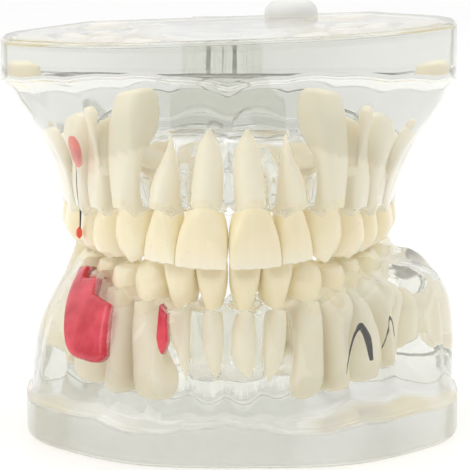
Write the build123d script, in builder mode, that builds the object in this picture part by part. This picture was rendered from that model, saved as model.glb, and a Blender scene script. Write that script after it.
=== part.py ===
from build123d import *
from math import atan2, cos, hypot, pi, radians, sin
import os

# Typodont model: two clear resin jaws in occlusion, hinged at the back, with ivory teeth cast in.
# The origin is on the table under the middle of the mouth. The front teeth face -Y, and +X is the
# patient's left. All sizes are in millimetres.

# ---------------- driving dimensions ----------------
# tooth arches: half an ellipse through the middles of the crowns
UPPER_ARCH = dict(half_width=25.6, depth=46.0, front=-26.4)
LOWER_ARCH = dict(half_width=23.4, depth=43.0, front=-23.6)
UPPER_BITE = 32.3          # height of the upper cheek teeth's cusps
LOWER_BITE = 31.95         # height of the lower cheek teeth's cusps

# castings
FRONT = -31.0              # front edge of both castings
BACK = 31.0                # flat rear wall of both castings
UPPER_HALF_WIDTH = 40.0
LOWER_HALF_WIDTH = 38.7
WIDEST = 5.0               # how far back the castings are widest
BACK_HALF_WIDTH = 27.0
LOWER_SHIFT = 2.4          # the base was poured this far off the tooth line, to +X
BASE_BAND = 7.2            # height of the lower casting's vertical edge
LOWER_GUM_TOP = 27.0
PLATE_UNDERSIDE = 63.2     # lower edge of the upper casting's vertical edge
UPPER_GUM_EDGE = 40.8
TOP = 71.2                 # trimmed top face on the middle line
TOP_SLOPE = 2.0            # degrees: the top face was trimmed a little lower on the -X side
TONGUE_FLOOR = 11.5
PALATE_TOP = 56.0

# hinge
HINGE_X = -0.8
HINGE_Y = 37.2
HINGE_Z = 44.6
PIN_RADIUS = 1.25
RUNNING_GAP = 0.06         # radial clearance of the pin in the lug
LUG_WIDTH = 13.2
EAR_WIDTH = 4.6
WASHER_THICKNESS = 0.6
SIDE_GAP = 0.1             # between each washer and the lug
KNUCKLE_RADIUS = 4.6
BRACKET_TOP = 39.0
BRACKET_BACK = 42.4
LUG_CHIN = 12.0            # the lug's underside meets the casting this far above the pin
WASHER_RADIUS = 3.4
CAP_RADIUS = 2.6
CAP_HEIGHT = 2.2
PIN_PROUD = 1.6            # how far the pin stands out of each ear

# marks of disease
RED_THICKNESS = 2.4
MARK_RADIUS = 0.4
CANAL_RADIUS = 0.3
PULP_RADIUS = 0.6

# bumper
BUMPER_X = 11.6
BUMPER_Y = 25.6
BUMPER_RADIUS = 5.0
BUMPER_HEIGHT = 3.0

os.makedirs("parts", exist_ok=True)


def save(builder, name):
    """Label one finished piece and write its file."""
    builder.part.label = name
    export_step(builder.part, f"parts/{name}.step")


# ---------------- teeth ----------------
# One tooth of each kind: crown height, root length, width along the arch, thickness across it,
# and how far its root leans towards the tongue, in degrees. Cheek teeth also give their roots as
# (offset along the arch, offset towards the cheek, length share).
UPPER_KINDS = {
    "central_incisor": dict(crown=10.6, root=13.0, width=8.5, thick=6.6, lean=9, tip=32.9),
    "lateral_incisor": dict(crown=9.4, root=12.8, width=6.6, thick=6.0, lean=9, tip=33.3),
    "canine": dict(crown=10.2, root=18.4, width=7.5, thick=7.4, lean=7, tip=32.6),
    "first_premolar": dict(crown=8.4, root=17.6, width=7.0, thick=8.8, lean=4,
                           roots=[(0, 2.2, 1.0), (0, -2.2, 0.92)]),
    "second_premolar": dict(crown=8.2, root=17.2, width=6.8, thick=8.8, lean=3,
                            roots=[(0, 0, 1.0)]),
    "first_molar": dict(crown=7.6, root=16.4, width=10.2, thick=10.6, lean=2,
                        roots=[(-2.7, 2.8, 0.95), (2.7, 2.8, 0.9), (0, -3.0, 1.0)]),
    "second_molar": dict(crown=7.2, root=14.4, width=9.2, thick=10.4, lean=0,
                         roots=[(-2.2, 2.6, 0.95), (2.2, 2.6, 0.9), (0, -2.8, 1.0)]),
}
LOWER_KINDS = {
    "central_incisor": dict(crown=8.6, root=12.4, width=5.2, thick=5.6, lean=4, tip=35.0),
    "lateral_incisor": dict(crown=8.8, root=13.4, width=5.7, thick=6.0, lean=4, tip=35.0),
    "canine": dict(crown=9.4, root=15.8, width=6.9, thick=7.0, lean=3, tip=33.8),
    "first_premolar": dict(crown=8.2, root=15.4, width=7.0, thick=7.6, lean=0,
                           roots=[(0, 0, 1.0)]),
    "second_premolar": dict(crown=8.0, root=15.4, width=7.1, thick=8.0, lean=0,
                            roots=[(0, 0, 1.0)]),
    "first_molar": dict(crown=7.4, root=14.4, width=11.0, thick=10.0, lean=-2,
                        roots=[(-2.8, 0, 1.0), (2.8, 0, 0.93)]),
    "second_molar": dict(crown=7.0, root=13.4, width=10.4, thick=9.6, lean=-4,
                         roots=[(-2.5, 0, 1.0), (2.5, 0, 0.93)]),
}
TOOTH_GAP = 0.08           # left between neighbouring front teeth
CHEEK_GAP = 0.4            # and between cheek teeth, whose inner corners turn together
# Incisors and canines: share of the crown height from the biting edge, then the section's width
# and thickness as shares of the tooth's, and how far its middle is pushed towards the lips
FRONT_CROWN = [(0.0, 0.84, 0.18, 1.5), (0.22, 0.98, 0.40, 1.3), (0.5, 1.0, 0.74, 0.75),
               (0.78, 0.88, 0.96, 0.25), (1.0, 0.74, 0.95, 0.1)]
CANINE_CROWN = [(0.0, 0.26, 0.24, 1.1), (0.2, 0.8, 0.55, 1.0), (0.45, 1.0, 0.82, 0.6),
                (0.78, 0.88, 1.0, 0.2), (1.0, 0.76, 0.97, 0.1)]
# root: share of the root length, then width and thickness shares; canine roots stay thick
FRONT_ROOT = [(0.4, 0.62, 0.86), (0.8, 0.38, 0.56), (1.0, 0.12, 0.2)]
CANINE_ROOT = [(0.4, 0.76, 0.92), (0.8, 0.74, 0.78), (1.0, 0.6, 0.62)]
# cheek teeth: share of the crown height, then width and thickness shares
CORNER_SHARE = 0.42        # corner radius of a cheek tooth's section, as a share of its smaller side
CHEEK_CROWN = [(0.0, 0.74, 0.58), (0.16, 0.95, 0.84), (0.45, 1.0, 1.0), (0.8, 0.9, 0.94),
               (1.0, 0.78, 0.86)]
# roots of cheek teeth: share of the root length, spread along and across the arch, and size
ROOT_SECTIONS = [(-0.09, 0.62, 0.78, 0.42), (0.45, 1.0, 1.0, 0.42), (1.0, 1.15, 1.05, 0.26)]


def along_arch(arch, length):
    """Place, and heading in radians, a given length round an arch from its front."""
    turn = 0.0
    gone = 0.0
    step = pi / 4000
    while gone < length:
        gone += hypot(arch["half_width"] * cos(turn), arch["depth"] * sin(turn)) * step
        turn += step
    x = arch["half_width"] * sin(turn)
    y = arch["front"] + arch["depth"] * (1 - cos(turn))
    heading = atan2(arch["depth"] * sin(turn), arch["half_width"] * cos(turn))
    return x, y, heading


def tooth_plane(x, y, tip, heading, lean, upwards):
    """Plane at a crown's tip: its normal runs to the root's end and its Y faces lips or cheek."""
    sign = 1 if upwards else -1
    outward = Vector(sin(heading), -cos(heading), 0)
    along = Vector(cos(heading), sin(heading), 0) * -sign
    normal = Vector(0, 0, sign) * cos(radians(lean)) - outward * sin(radians(lean))
    return Plane(origin=(x, y, tip), x_dir=along, z_dir=normal)


def front_tooth(plane, kind, crown_profile, root_profile):
    """Incisor or canine: one smooth loft from the biting edge to the root's end."""
    with BuildPart() as tooth:
        for share, width, thick, push in crown_profile:
            with BuildSketch(plane.offset(share * kind["crown"])):
                with Locations((0, push)):
                    Ellipse(kind["width"] * width / 2, kind["thick"] * thick / 2)
        for share, width, thick in root_profile:
            with BuildSketch(plane.offset(kind["crown"] + share * kind["root"])):
                Ellipse(kind["width"] * width / 2, kind["thick"] * thick / 2)
        loft()
    return tooth


def cheek_tooth(plane, kind):
    """Premolar or molar: a rounded square crown and a trunk, with one loft for each root."""
    with BuildPart() as tooth:
        for share, width, thick in CHEEK_CROWN:
            with BuildSketch(plane.offset(share * kind["crown"])):
                w = kind["width"] * width
                t = kind["thick"] * thick
                RectangleRounded(w, t, min(w, t) * CORNER_SHARE)
        loft()
        single = len(kind["roots"]) == 1
        side_by_side = abs(kind["roots"][0][1]) < 0.1
        root_width = kind["width"] * (0.8 if single else 0.54)
        root_thick = kind["thick"] * (0.86 if side_by_side else 0.44)
        for along, across, length in kind["roots"]:
            for share, spread_along, spread_across, size in ROOT_SECTIONS:
                height = kind["crown"] + share * length * kind["root"]
                with BuildSketch(plane.offset(height)):
                    with Locations((along * spread_along, across * spread_across)):
                        Ellipse(root_width * size, root_thick * size)
            loft()
    return tooth


def make_arch(kinds, arch, cusps, upwards, prefix):
    """All fourteen teeth of one jaw by name, the right side mirrored from the left."""
    made = {}
    reach = 0.0
    for kind_name, kind in kinds.items():
        reach += kind["width"] / 2
        x, y, heading = along_arch(arch, reach)
        reach += kind["width"] / 2
        gap = CHEEK_GAP if "roots" in kind else TOOTH_GAP
        sized = dict(kind, width=kind["width"] - gap)
        plane = tooth_plane(x, y, kind.get("tip", cusps), heading, kind["lean"], upwards)
        if "roots" in kind:
            tooth = cheek_tooth(plane, sized)
        elif kind_name == "canine":
            tooth = front_tooth(plane, sized, CANINE_CROWN, CANINE_ROOT)
        else:
            tooth = front_tooth(plane, sized, FRONT_CROWN, FRONT_ROOT)
        with BuildPart() as twin:
            mirror(tooth.part, about=Plane.YZ)
        made[f"{prefix}_left_{kind_name}"] = tooth
        made[f"{prefix}_right_{kind_name}"] = twin
    return made


upper_teeth = make_arch(UPPER_KINDS, UPPER_ARCH, UPPER_BITE, True, "upper")
lower_teeth = make_arch(LOWER_KINDS, LOWER_ARCH, LOWER_BITE, False, "lower")

# ---------------- buried wisdom teeth ----------------
# They lie tipped inside the rear corners, clear of the second molars and of every surface.
WISDOM_KIND = dict(crown=5.6, root=6.4, width=8.0, thick=8.0, roots=[(-1.7, 0, 1.0), (1.7, 0, 0.92)])
UPPER_WISDOM = dict(x=22.6, y=24.0, tip=52.6, tilt=8)
LOWER_WISDOM = dict(x=22.6, y=25.4, tip=21.0, tilt=-8)


def wisdom_pair(place, upwards, prefix):
    """One buried wisdom tooth on each side, its crown tipped forwards."""
    sign = 1 if upwards else -1
    lean = radians(place["tilt"])
    plane = Plane(
        origin=(place["x"], place["y"], place["tip"]),
        x_dir=(0, -sign * cos(lean), sin(lean)),
        z_dir=(0, sin(lean), sign * cos(lean)),
    )
    tooth = cheek_tooth(plane, WISDOM_KIND)
    with BuildPart() as twin:
        mirror(tooth.part, about=Plane.YZ)
    return {f"{prefix}_left_wisdom_tooth": tooth, f"{prefix}_right_wisdom_tooth": twin}


upper_teeth |= wisdom_pair(UPPER_WISDOM, True, "upper")
lower_teeth |= wisdom_pair(LOWER_WISDOM, False, "lower")


# ---------------- castings ----------------
def casting_outline(half_width, front, back, back_half_width, shift=0.0):
    """Plan of a casting at one height: a full front curve, then cut corners and a flat back."""
    with BuildSketch(mode=Mode.PRIVATE) as plan:
        with BuildLine():
            front_curve = Spline(
                (0, front),
                (0.54 * half_width, front + 3.4),
                (0.82 * half_width, front + 12.5),
                (half_width, WIDEST),
                tangents=[(1, 0), (0, 1)],
            )
            side = Line(front_curve @ 1, (0.965 * half_width, WIDEST + 6))
            corner = Line(side @ 1, (back_half_width, back))
            Line(corner @ 1, (0, back))
            mirror(about=Plane.YZ)
        make_face()
    return plan.sketch.moved(Location((shift, 0, 0)))


def mouth_outline(half_width, front, back, shift=0.0):
    """Plan of the hollow between the two sides of an arch, open at the back."""
    with BuildSketch(mode=Mode.PRIVATE) as plan:
        with BuildLine():
            Spline(
                (0, front),
                (0.72 * half_width, front + 7.5),
                (half_width, front + 27),
                (half_width * 1.02, back),
                tangents=[(1, 0), (0, 1)],
            )
            Line((half_width * 1.02, back), (0, back))
            mirror(about=Plane.YZ)
        make_face()
    return plan.sketch.moved(Location((shift, 0, 0)))


def gum_body(sections):
    """Loft between plans given as (height, half width, front, back, half width at the back, shift)."""
    with BuildPart() as body:
        for height, half_width, front, back, back_half_width, shift in sections:
            with BuildSketch(Plane.XY.offset(height)):
                add(casting_outline(half_width, front, back, back_half_width, shift))
        loft()
    return body


LOWER_GUM = [
    (BASE_BAND - 0.2, LOWER_HALF_WIDTH - 0.6, FRONT + 0.8, BACK, BACK_HALF_WIDTH, LOWER_SHIFT),
    (16.0, 37.2, -29.0, BACK - 0.4, 27.0, 2.8),
    (22.0, 35.4, -28.6, BACK - 0.8, 27.0, 2.8),
    (LOWER_GUM_TOP, 31.0, -28.0, BACK - 1.0, 27.0, 2.0),
]
UPPER_GUM = [
    (PLATE_UNDERSIDE + 0.2, UPPER_HALF_WIDTH - 0.6, FRONT + 0.8, BACK, BACK_HALF_WIDTH, 0.0),
    (50.0, 34.6, -29.4, BACK - 0.4, 27.0, 0.0),
    (UPPER_GUM_EDGE, 31.6, -29.4, BACK - 1.0, 27.0, 0.0),
]
RED_REGION = dict(low=(-29.0, -25.0, 13.8), high=(-18.8, -4.0, 26.0))

# The red piece is a curved shell let into the skin of the gum beside the lower right premolars.
slimmer = [
    (height, half_width - RED_THICKNESS, front + RED_THICKNESS, back, back_half_width, shift)
    for height, half_width, front, back, back_half_width, shift in LOWER_GUM
]
lower_gum = gum_body(LOWER_GUM)
inner_gum = gum_body(slimmer)
low = Vector(*RED_REGION["low"])
high = Vector(*RED_REGION["high"])
red_size = high - low
with BuildPart() as inflamed_gum:
    add(lower_gum.part)
    add(inner_gum.part, mode=Mode.SUBTRACT)
    with Locations((low + high) / 2):
        Box(red_size.X, red_size.Y, red_size.Z, mode=Mode.INTERSECT)
    for tooth in lower_teeth.values():
        add(tooth.part, mode=Mode.SUBTRACT)

# The papilla is a small red wedge between the lower right lateral incisor and canine.
with BuildPart() as inflamed_papilla:
    x, y, heading = along_arch(LOWER_ARCH, 11.0)
    wedge_plane = Plane(origin=(-x, y, 19.2), x_dir=(cos(heading), -sin(heading), 0), z_dir=(0, 0, 1))
    for rise, width, deep in [(0, 1.3, 1.8), (4.5, 1.6, 2.4), (7.0, 0.9, 1.6)]:
        with BuildSketch(wedge_plane.offset(rise)):
            with Locations((0, -2.0)):
                Ellipse(width / 2, deep / 2)
    loft()
    for tooth in lower_teeth.values():
        add(tooth.part, mode=Mode.SUBTRACT)


# ---------------- marks on the roots ----------------
def canal_mark(foot, heading, height, spread):
    """Black thread bent to an upside-down U, lying on the cheek side of a lower molar's roots."""
    plane = Plane(origin=foot, x_dir=(cos(heading), sin(heading), 0), z_dir=(sin(heading), -cos(heading), 0))
    with BuildPart() as mark:
        with BuildLine(plane) as path:
            near = Line((-spread / 2, 0), (-spread / 2, height - spread / 2))
            bend = ThreePointArc(near @ 1, (0, height), (spread / 2, height - spread / 2))
            Line(bend @ 1, (spread / 2, 0.8))
        with BuildSketch(Plane(origin=path.line @ 0, z_dir=path.line % 0)):
            Circle(MARK_RADIUS)
        sweep()
    return mark


FRONT_MARK = dict(reach=29.0, heading=radians(52), foot=12.2, height=8.6, spread=4.8)
REAR_MARK = dict(reach=38.0, heading=radians(62), foot=15.1, height=6.5, spread=3.4)
MARK_OUT = 4.3             # from the arch to the marks, towards the cheek


def lower_left_mark(mark):
    """Canal mark at a given reach round the lower arch, turned a little towards the front."""
    x, y, heading = along_arch(LOWER_ARCH, mark["reach"])
    foot = (x + MARK_OUT * sin(heading), y - MARK_OUT * cos(heading), mark["foot"])
    return canal_mark(foot, mark["heading"], mark["height"], mark["spread"])


root_canal_mark_front = lower_left_mark(FRONT_MARK)
root_canal_mark_rear = lower_left_mark(REAR_MARK)

# The abscess sits beside the upper right first molar's root, with its canal below it.
SICK_REACH = 35.0          # round the arch from its front
CANAL_OUT = 4.7            # from the arch, towards the cheek
ABSCESS_FOOT = 47.6
CANAL_FOOT = 36.6
sick_x, sick_y, sick_heading = along_arch(UPPER_ARCH, SICK_REACH)
sick_spot = (-(sick_x + CANAL_OUT * sin(sick_heading)), sick_y - CANAL_OUT * cos(sick_heading))
with BuildPart() as root_abscess:
    blob_plane = Plane(origin=(sick_spot[0], sick_spot[1], ABSCESS_FOOT))
    for rise, radius in [(0, 0.5), (1.6, 1.25), (3.6, 1.2), (5.2, 0.5)]:
        with BuildSketch(blob_plane.offset(rise)):
            Ellipse(radius, radius * 0.9)
    loft()
with BuildPart() as infected_canal:
    with BuildLine() as canal_path:
        ThreePointArc(
            (sick_spot[0], sick_spot[1], ABSCESS_FOOT),
            (sick_spot[0] - 0.15, sick_spot[1] - 0.5, (ABSCESS_FOOT + CANAL_FOOT) / 2),
            (sick_spot[0] + 0.3, sick_spot[1], CANAL_FOOT),
        )
    with BuildSketch(Plane(origin=canal_path.line @ 0, z_dir=canal_path.line % 0)):
        Circle(CANAL_RADIUS)
    sweep()
with BuildPart() as pulp_spot:
    with Locations((sick_spot[0] + 0.3, sick_spot[1], CANAL_FOOT - 0.5)):
        Sphere(PULP_RADIUS)
with BuildPart() as canal_trim:
    add(infected_canal.part)
    add(pulp_spot.part, mode=Mode.SUBTRACT)
    add(root_abscess.part, mode=Mode.SUBTRACT)
infected_canal = canal_trim

upper_marks = {"root_abscess": root_abscess, "infected_canal": infected_canal, "pulp_spot": pulp_spot}
lower_marks = {
    "inflamed_gum": inflamed_gum,
    "inflamed_papilla": inflamed_papilla,
    "root_canal_mark_front": root_canal_mark_front,
    "root_canal_mark_rear": root_canal_mark_rear,
}


def groove_teeth(teeth, marks):
    """Cut each mark's groove into the teeth that it lies on, and save every tooth."""
    for name, tooth in list(teeth.items()):
        for mark in marks:
            if tooth.part.distance_to(mark.part) < 0.01:
                with BuildPart() as grooved:
                    add(tooth.part)
                    add(mark.part, mode=Mode.SUBTRACT)
                teeth[name] = grooved
                tooth = grooved
        save(tooth, name)


groove_teeth(upper_teeth, upper_marks.values())
groove_teeth(lower_teeth, [root_canal_mark_front, root_canal_mark_rear])
for name, mark in (upper_marks | lower_marks).items():
    save(mark, name)

# ---------------- lower jaw ----------------
with BuildPart() as lower_jaw:
    with BuildSketch():
        add(casting_outline(LOWER_HALF_WIDTH, FRONT, BACK, BACK_HALF_WIDTH, LOWER_SHIFT))
    extrude(amount=BASE_BAND)
    chamfer(lower_jaw.faces().sort_by(Axis.Z)[0].edges(), length=0.6)
    add(lower_gum.part)
    for height, half_width, front in [(TONGUE_FLOOR, 15.0, -14.5), (LOWER_GUM_TOP + 4, 19.0, -19.5)]:
        with BuildSketch(Plane.XY.offset(height), mode=Mode.PRIVATE) as hollow:
            add(mouth_outline(half_width, front, BACK + 6))
        add(hollow.sketch)
    loft(mode=Mode.SUBTRACT)
    for piece in [*lower_teeth.values(), *lower_marks.values()]:
        add(piece.part, mode=Mode.SUBTRACT)
save(lower_jaw, "lower_jaw")

# ---------------- upper jaw ----------------
with BuildPart() as upper_jaw:
    with BuildSketch(Plane.XY.offset(PLATE_UNDERSIDE)):
        add(casting_outline(UPPER_HALF_WIDTH, FRONT, BACK, BACK_HALF_WIDTH))
    extrude(amount=TOP - PLATE_UNDERSIDE + 4)
    split(bisect_by=Plane.XY.offset(TOP).rotated((0, -TOP_SLOPE, 0)), keep=Keep.BOTTOM)
    add(gum_body(UPPER_GUM).part)
    for height, half_width, front in [(UPPER_GUM_EDGE - 4, 19.6, -21.5), (PALATE_TOP, 11.0, -9.0)]:
        with BuildSketch(Plane.XY.offset(height), mode=Mode.PRIVATE) as hollow:
            add(mouth_outline(half_width, front, BACK + 6))
        add(hollow.sketch)
    loft(mode=Mode.SUBTRACT)
    for piece in [*upper_teeth.values(), *upper_marks.values()]:
        add(piece.part, mode=Mode.SUBTRACT)
save(upper_jaw, "upper_jaw")

# ---------------- hinge ----------------
EAR_INNER = LUG_WIDTH / 2 + SIDE_GAP + WASHER_THICKNESS
EAR_OUTER = EAR_INNER + EAR_WIDTH
across_hinge = Plane(origin=(HINGE_X, HINGE_Y, HINGE_Z), x_dir=(0, 1, 0), z_dir=(1, 0, 0))

# Upper lug: a clear block cemented to the back of the upper casting, rounded round the pin.
with BuildPart() as upper_hinge_lug:
    lug_front = BACK - HINGE_Y
    lug_top = TOP - 0.6 - HINGE_Z
    lug_radius = KNUCKLE_RADIUS - 0.6
    with BuildSketch(across_hinge.offset(-LUG_WIDTH / 2)):
        with BuildLine():
            rear_up = Line((lug_radius, 0), (lug_radius, lug_top))
            Line(rear_up @ 1, (lug_front, lug_top))
            Line((lug_front, lug_top), (lug_front, LUG_CHIN))
            Line((lug_front, LUG_CHIN), (-lug_radius, 0))
            ThreePointArc((-lug_radius, 0), (0, -lug_radius), (lug_radius, 0))
        make_face()
    extrude(amount=LUG_WIDTH)
    with Locations(across_hinge):
        Cylinder(PIN_RADIUS + RUNNING_GAP, LUG_WIDTH * 1.2, mode=Mode.SUBTRACT)
save(upper_hinge_lug, "upper_hinge_lug")

# Lower bracket: a clear block cemented to the back of the base, with an ear each side of the lug.
with BuildPart() as lower_hinge_bracket:
    with BuildSketch(across_hinge.offset(-EAR_OUTER)):
        with BuildLine():
            back_edge = BRACKET_BACK - HINGE_Y
            front_edge = BACK - HINGE_Y
            web = BRACKET_TOP - HINGE_Z
            Line((front_edge, -HINGE_Z), (back_edge, -HINGE_Z))
            Line((back_edge, -HINGE_Z), (back_edge, web))
            Line((back_edge, web), (KNUCKLE_RADIUS, 0))
            ThreePointArc((KNUCKLE_RADIUS, 0), (0, KNUCKLE_RADIUS), (-KNUCKLE_RADIUS, 0))
            Line((-KNUCKLE_RADIUS, 0), (front_edge, web))
            Line((front_edge, web), (front_edge, -HINGE_Z))
        make_face()
    extrude(amount=2 * EAR_OUTER)
    fillet(lower_hinge_bracket.edges().filter_by(Axis.Z).group_by(Axis.Y)[-1], radius=1.5)
    with Locations((HINGE_X, HINGE_Y, BRACKET_TOP + 10)):
        Box(2 * EAR_INNER, 20, 20, mode=Mode.SUBTRACT)
    with Locations(across_hinge):
        Cylinder(PIN_RADIUS, 4 * EAR_OUTER, mode=Mode.SUBTRACT)
save(lower_hinge_bracket, "lower_hinge_bracket")

# Pin: plain steel, pressed in the ears, with a nylon cap on each end.
with BuildPart() as hinge_pin:
    with Locations(across_hinge):
        Cylinder(PIN_RADIUS, 2 * (EAR_OUTER + PIN_PROUD))
    chamfer(hinge_pin.edges().filter_by(GeomType.CIRCLE), length=0.2)
save(hinge_pin, "hinge_pin")

for side, name in [(-1, "right"), (1, "left")]:
    washer_middle = side * (EAR_INNER - WASHER_THICKNESS / 2)
    with BuildPart() as washer:
        with Locations(across_hinge.offset(washer_middle)):
            Cylinder(WASHER_RADIUS, WASHER_THICKNESS)
            Cylinder(PIN_RADIUS, WASHER_THICKNESS * 2, mode=Mode.SUBTRACT)
    save(washer, f"hinge_washer_{name}")

    outward = Plane(origin=across_hinge.offset(side * EAR_OUTER).origin, x_dir=(0, 1, 0), z_dir=(side, 0, 0))
    with BuildPart() as cap:
        with BuildSketch(outward):
            Circle(CAP_RADIUS)
        extrude(amount=CAP_HEIGHT)
        fillet(cap.faces().sort_by(Axis.X)[0 if side < 0 else -1].edges(), radius=0.9)
        with BuildSketch(outward):
            Circle(PIN_RADIUS)
        extrude(amount=PIN_PROUD, mode=Mode.SUBTRACT)
    save(cap, f"pin_cap_{name}")

# ---------------- bumper ----------------
# A frosted silicone dome stuck on the top face near its back edge.
top_here = Plane.XY.offset(TOP).rotated((0, -TOP_SLOPE, 0))
bumper_plane = Plane(origin=top_here.from_local_coords((BUMPER_X, BUMPER_Y, 0)), z_dir=top_here.z_dir)
with BuildPart() as silicone_bumper:
    with BuildSketch(bumper_plane):
        Circle(BUMPER_RADIUS)
    extrude(amount=BUMPER_HEIGHT)
    fillet(silicone_bumper.faces().sort_by(Axis.Z)[-1].edges(), radius=2.6)
save(silicone_bumper, "silicone_bumper")
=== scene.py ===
from math import atan2, cos, hypot, pi, radians, sin, sqrt

import bmesh
import bpy
import numpy as np
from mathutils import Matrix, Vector
from mathutils.bvhtree import BVHTree


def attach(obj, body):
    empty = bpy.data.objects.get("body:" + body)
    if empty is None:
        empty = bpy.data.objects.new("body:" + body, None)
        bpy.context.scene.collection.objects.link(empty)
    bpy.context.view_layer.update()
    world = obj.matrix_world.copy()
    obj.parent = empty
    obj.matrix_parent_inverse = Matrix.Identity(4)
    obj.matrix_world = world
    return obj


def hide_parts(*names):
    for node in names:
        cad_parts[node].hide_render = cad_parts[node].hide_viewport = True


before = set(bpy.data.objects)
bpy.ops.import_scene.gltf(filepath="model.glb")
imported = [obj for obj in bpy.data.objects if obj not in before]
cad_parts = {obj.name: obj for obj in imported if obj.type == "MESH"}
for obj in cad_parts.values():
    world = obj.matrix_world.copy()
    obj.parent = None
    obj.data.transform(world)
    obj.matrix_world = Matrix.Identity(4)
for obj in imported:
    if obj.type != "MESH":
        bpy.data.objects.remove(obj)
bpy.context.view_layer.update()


# ---------------- ivory teeth ----------------
# Each tooth is one injection-moulded ivory plastic piece with its crown and its whole root, set
# into the clear resin before it cured. The crown is glossier and creamier than the root, and a
# thin collar marks where the enamel would end.
MM = 0.001                 # sizes below are in millimetres, and the scene is in metres


class Wire:
    """A shader value. Arithmetic on wires adds Math nodes to the same material."""

    def __init__(self, graph, socket):
        self.graph = graph
        self.socket = socket

    def math(self, kind, other, swapped=False):
        values = [other, self] if swapped else [self, other]
        return self.graph.add("ShaderNodeMath", operation=kind, inputs=dict(enumerate(values)))

    def __add__(self, other):
        return self.math("ADD", other)

    def __radd__(self, other):
        return self.math("ADD", other, swapped=True)

    def __sub__(self, other):
        return self.math("SUBTRACT", other)

    def __rsub__(self, other):
        return self.math("SUBTRACT", other, swapped=True)

    def __mul__(self, other):
        return self.math("MULTIPLY", other)

    def __rmul__(self, other):
        return self.math("MULTIPLY", other, swapped=True)


class Graph:
    """The node tree of a new material or world."""

    def __init__(self, owner):
        self.owner = owner
        owner.use_nodes = True
        self.tree = owner.node_tree
        self.tree.nodes.clear()

    def feed(self, socket, value):
        if isinstance(value, Wire):
            self.tree.links.new(value.socket, socket)
        else:
            socket.default_value = value

    def add(self, kind, output=0, inputs=None, **settings):
        """Any node: its settings by name, its inputs by name or number, and one output."""
        node = self.tree.nodes.new(kind)
        for key, value in settings.items():
            setattr(node, key, value)
        for key, value in (inputs or {}).items():
            self.feed(node.inputs[key], value)
        return Wire(self, node.outputs[output])

    def noise(self, size, detail=2.0, rough=0.5, stretch=None):
        """Noise with features about size metres across, pulled out along an axis by stretch."""
        at = self.add("ShaderNodeTexCoord", output="Object")
        if stretch:
            at = self.add("ShaderNodeVectorMath", operation="MULTIPLY", inputs={0: at, 1: stretch})
        return self.add("ShaderNodeTexNoise", output="Fac",
                        inputs={"Vector": at, "Scale": 1 / size, "Detail": detail,
                                "Roughness": rough})

    def ramp(self, value, low, high):
        """0 at low, 1 at high, smooth between."""
        return self.add("ShaderNodeMapRange", interpolation_type="SMOOTHSTEP",
                        inputs={"Value": value, "From Min": low, "From Max": high})

    def mix(self, share, first, second):
        """A colour between first and second."""
        return self.add("ShaderNodeMix", output=2, data_type="RGBA",
                        inputs={0: share, 6: first, 7: second})

    def bump(self, height, strength, distance):
        return self.add("ShaderNodeBump",
                        inputs={"Height": height, "Strength": strength, "Distance": distance})

    def principled(self, **inputs):
        """The main shader, its inputs by name with _ for each space."""
        names = {key.replace("_", " "): value for key, value in inputs.items()}
        return self.add("ShaderNodeBsdfPrincipled", inputs=names)

    def finish(self, shader, output="ShaderNodeOutputMaterial"):
        out = self.tree.nodes.new(output)
        self.tree.links.new(shader.socket, out.inputs["Surface"])
        return self.owner


def ivory_material():
    graph = Graph(bpy.data.materials.new("ivory_plastic"))
    crown = graph.add("ShaderNodeAttribute", output="Fac", attribute_name="crown")
    collar = graph.add("ShaderNodeAttribute", output="Fac", attribute_name="collar")
    edge = graph.add("ShaderNodeAttribute", output="Fac", attribute_name="edge")
    cloud = graph.noise(0.006, detail=3.0)
    grain = graph.noise(0.0009, detail=3.0, rough=0.6)
    streak = graph.noise(0.0016, detail=2.0, stretch=(1.0, 1.0, 0.22))
    root_colour = graph.mix(cloud, (0.90, 0.82, 0.61, 1), (0.93, 0.87, 0.70, 1))
    crown_colour = graph.mix(cloud, (0.90, 0.78, 0.49, 1), (0.93, 0.84, 0.59, 1))
    colour = graph.mix(crown, root_colour, crown_colour)
    colour = graph.mix(streak * 0.30, colour, (0.93, 0.87, 0.70, 1))
    colour = graph.mix(edge * 0.55, colour, (0.94, 0.89, 0.76, 1))
    colour = graph.mix(collar * 0.35, colour, (0.74, 0.62, 0.38, 1))
    rough = 0.34 - crown * 0.10 + grain * 0.10
    surface = graph.bump(grain * 0.5 + streak, 0.25, 0.00012)
    shader = graph.principled(Base_Color=colour, Roughness=rough, Normal=surface, IOR=1.49,
                              Coat_Weight=0.4, Coat_Roughness=0.10,
                              Subsurface_Weight=0.12, Subsurface_Scale=0.002)
    return graph.finish(shader)


# the arches run through the middles of the crowns: half an ellipse, seen from above
ARCHES = {
    "upper": dict(half_width=25.6, depth=46.0, front=-26.4, bite=32.3, up=1),
    "lower": dict(half_width=23.4, depth=43.0, front=-23.6, bite=31.95, up=-1),
}
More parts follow.
